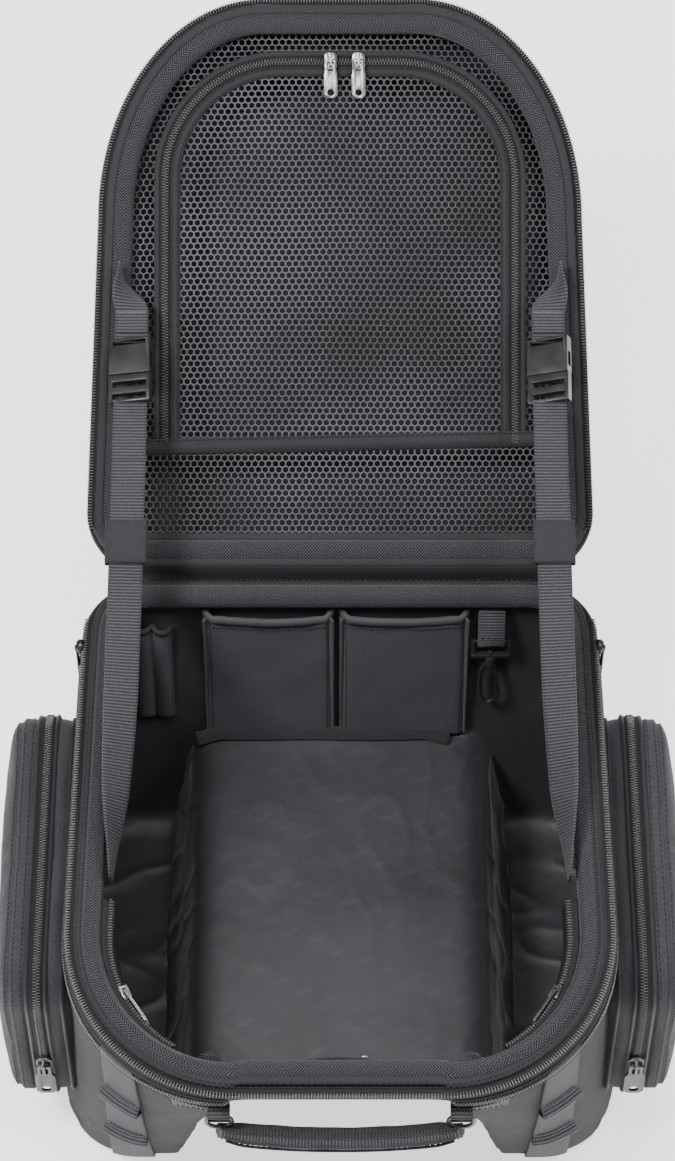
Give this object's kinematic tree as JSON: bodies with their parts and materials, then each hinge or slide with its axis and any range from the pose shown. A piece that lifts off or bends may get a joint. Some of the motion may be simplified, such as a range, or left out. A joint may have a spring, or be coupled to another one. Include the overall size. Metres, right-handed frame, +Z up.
{
  "type": "motorcycle tail bag",
  "caption": "Soft saddle-style tail bag, lid open on buckled stay straps, with zipped side pockets, inner pockets, key clip, net lid pocket and carry handle.",
  "frame": {"origin": "middle of the underside of the raised floor, which rests on the seat", "axes": "+X to the right, +Y from the carry handle towards the lid hinge, +Z up"},
  "size_m": [0.49, 0.813, 0.5059],
  "materials": {
    "ballistic_nylon": "charcoal woven nylon, matt",
    "lining_fabric": "fine satin lining",
    "binding_tape": "herringbone twill tape",
    "webbing": "ribbed nylon webbing",
    "mesh_net": "knitted hexagonal net",
    "zip_coil": "satin nylon coil",
    "floor_board": "lined stiff board",
    "moulded_plastic": "satin moulded plastic",
    "dark_pull": "gunmetal plate",
    "plated_steel": "nickel plate"
  },
  "bodies": {
    "bag": {"front_panel": "ballistic_nylon", "back_panel": "ballistic_nylon", "side_panel_left": "ballistic_nylon", "side_panel_right": "ballistic_nylon", "base_panel": "ballistic_nylon", "floor_board": "floor_board", "rim_binding": "binding_tape", "main_zip_chain_body": "zip_coil", "expansion_zip_chain": "zip_coil", "hinge_panel": "ballistic_nylon", "main_zip_slider_left": "plated_steel", "main_zip_slider_right": "plated_steel", "inner_zip_chain_left": "zip_coil", "inner_zip_chain_right": "zip_coil", "inner_zip_left_slider": "plated_steel", "inner_zip_right_slider": "plated_steel", "organizer_pocket_left": "lining_fabric", "organizer_pocket_right": "lining_fabric", "pen_pocket": "lining_fabric", "front_inner_pocket": "lining_fabric", "key_clip_tab": "webbing", "handle_tab_left": "webbing", "handle_tab_right": "webbing", "lobe_strap_left": "webbing", "lobe_strap_right": "webbing", "pocket_tray_left": "ballistic_nylon", "pocket_tray_right": "ballistic_nylon", "pocket_zip_chain_left": "zip_coil", "pocket_zip_chain_right": "zip_coil", "stay_strap_left": "webbing", "stay_strap_right": "webbing"},
    "lid": {"lid_shell": "ballistic_nylon", "lid_binding": "binding_tape", "lid_zip_chain": "zip_coil", "lid_mesh_panel": "mesh_net", "mesh_zip_chain": "zip_coil"},
    "handle": {"handle_grip": "webbing", "handle_ring_left": "plated_steel", "handle_ring_right": "plated_steel"},
    "key_eye": {"key_clip_eye": "moulded_plastic"},
    "key_hook": {"key_clip_hook": "moulded_plastic"},
    "key_gate": {"key_clip_gate": "moulded_plastic"},
    "stay_left": {"stay_upper_left": "webbing", "buckle_female_left": "moulded_plastic"},
    "buckle_plug_left": {"buckle_male_left": "moulded_plastic"},
    "pocket_door_left": {"pocket_cover_left": "ballistic_nylon"},
    "pocket_runner_left": {"pocket_zip_left_slider": "dark_pull"},
    "pocket_tag_left": {"pocket_zip_left_pull": "dark_pull"},
    "inner_tag_left": {"inner_zip_left_pull": "plated_steel"},
    "mesh_runner_left": {"mesh_zip_left_slider": "plated_steel"},
    "mesh_tag_left": {"mesh_zip_left_pull": "plated_steel"},
    "stay_right": {"stay_upper_right": "webbing", "buckle_female_right": "moulded_plastic"},
    "buckle_plug_right": {"buckle_male_right": "moulded_plastic"},
    "pocket_door_right": {"pocket_cover_right": "ballistic_nylon"},
    "pocket_runner_right": {"pocket_zip_right_slider": "dark_pull"},
    "pocket_tag_right": {"pocket_zip_right_pull": "dark_pull"},
    "inner_tag_right": {"inner_zip_right_pull": "plated_steel"},
    "mesh_runner_right": {"mesh_zip_right_slider": "plated_steel"},
    "mesh_tag_right": {"mesh_zip_right_pull": "plated_steel"}
  },
  "joints": [
    {"name": "lid_hinge", "type": "hinge", "parent": "bag", "child": "lid", "pos_m": [0, 0.198, 0.173], "axis": [1, 0, 0], "range_deg": [0, 147], "deforming": ["stay_strap_left", "stay_strap_right"]},
    {"name": "stay_fold_left", "type": "hinge", "parent": "lid", "child": "stay_left", "pos_m": [-0.155, 0.38563, 0.29902], "axis": [0, -0.2904, 0.9569], "range_deg": [0, 30], "deforming": ["stay_strap_left"]},
    {"name": "buckle_release_left", "type": "slide", "parent": "stay_left", "child": "buckle_plug_left", "axis": [0, -0.9569, -0.2904], "range_m": [0, 0.022], "deforming": ["stay_strap_left"]},
    {"name": "stay_fold_right", "type": "hinge", "parent": "lid", "child": "stay_right", "pos_m": [0.155, 0.38563, 0.29902], "axis": [0, 0.2904, -0.9569], "range_deg": [0, 30], "deforming": ["stay_strap_right"]},
    {"name": "buckle_release_right", "type": "slide", "parent": "stay_right", "child": "buckle_plug_right", "axis": [0, -0.9569, -0.2904], "range_m": [0, 0.022], "deforming": ["stay_strap_right"]},
    {"name": "handle_swing", "type": "hinge", "parent": "bag", "child": "handle", "pos_m": [0, -0.225, 0.13], "axis": [1, 0, 0], "range_deg": [-110, 6]},
    {"name": "pocket_cover_left", "type": "hinge", "parent": "bag", "child": "pocket_door_left", "pos_m": [-0.21985, 0, -0.038], "axis": [0, -1, 0], "range_deg": [0, 95]},
    {"name": "pocket_zip_left", "type": "slide", "parent": "bag", "child": "pocket_runner_left", "axis": [0, 0, 1], "range_m": [-0.014, 0.056]},
    {"name": "pocket_pull_left", "type": "hinge", "parent": "pocket_runner_left", "child": "pocket_tag_left", "pos_m": [-0.2152, -0.14031, 0.034], "axis": [-1, 0, 0], "range_deg": [0, 150]},
    {"name": "inner_pull_left", "type": "hinge", "parent": "bag", "child": "inner_tag_left", "pos_m": [-0.14968, -0.14574, 0.16], "axis": [0, 0, 1], "range_deg": [0, 140]},
    {"name": "mesh_zip_left", "type": "slide", "parent": "lid", "child": "mesh_runner_left", "axis": [-1, 0, 0], "range_m": [0, 0.025]},
    {"name": "mesh_pull_left", "type": "hinge", "parent": "mesh_runner_left", "child": "mesh_tag_left", "pos_m": [-0.007, 0.52392, 0.37893], "axis": [-1, 0, 0], "range_deg": [0, 75]},
    {"name": "pocket_cover_right", "type": "hinge", "parent": "bag", "child": "pocket_door_right", "pos_m": [0.21985, 0, -0.038], "axis": [0, 1, 0], "range_deg": [0, 95]},
    {"name": "pocket_zip_right", "type": "slide", "parent": "bag", "child": "pocket_runner_right", "axis": [0, 0, 1], "range_m": [-0.014, 0.056]},
    {"name": "pocket_pull_right", "type": "hinge", "parent": "pocket_runner_right", "child": "pocket_tag_right", "pos_m": [0.2152, -0.14031, 0.034], "axis": [-1, 0, 0], "range_deg": [0, 150]},
    {"name": "inner_pull_right", "type": "hinge", "parent": "bag", "child": "inner_tag_right", "pos_m": [0.14968, -0.14574, 0.16], "axis": [0, 0, -1], "range_deg": [0, 140]},
    {"name": "mesh_zip_right", "type": "slide", "parent": "lid", "child": "mesh_runner_right", "axis": [1, 0, 0], "range_m": [0, 0.025]},
    {"name": "mesh_pull_right", "type": "hinge", "parent": "mesh_runner_right", "child": "mesh_tag_right", "pos_m": [0.014, 0.52392, 0.37893], "axis": [-1, 0, 0], "range_deg": [0, 75]},
    {"name": "key_eye_swing", "type": "hinge", "parent": "bag", "child": "key_eye", "pos_m": [0.114, 0.17211, 0.121], "axis": [-1, 0, 0], "range_deg": [0, 90]},
    {"name": "key_hook_swivel", "type": "hinge", "parent": "key_eye", "child": "key_hook", "pos_m": [0.114, 0.17211, 0.121], "axis": [0, 0.1814, 0.9834], "continuous": true},
    {"name": "key_gate_flex", "type": "hinge", "parent": "key_hook", "child": "key_gate", "pos_m": [0.1174, 0.16748, 0.09592], "axis": [0, 0.9834, -0.1814], "range_deg": [0, 20], "stiffness_Nm_per_rad": 0.02, "springref_deg": -17.19}
  ],
  "couplings": [
    {"joint": "stay_fold_left", "follows": "lid_hinge", "ratio": 0.2},
    {"joint": "stay_fold_right", "follows": "lid_hinge", "ratio": 0.2}
  ]
}
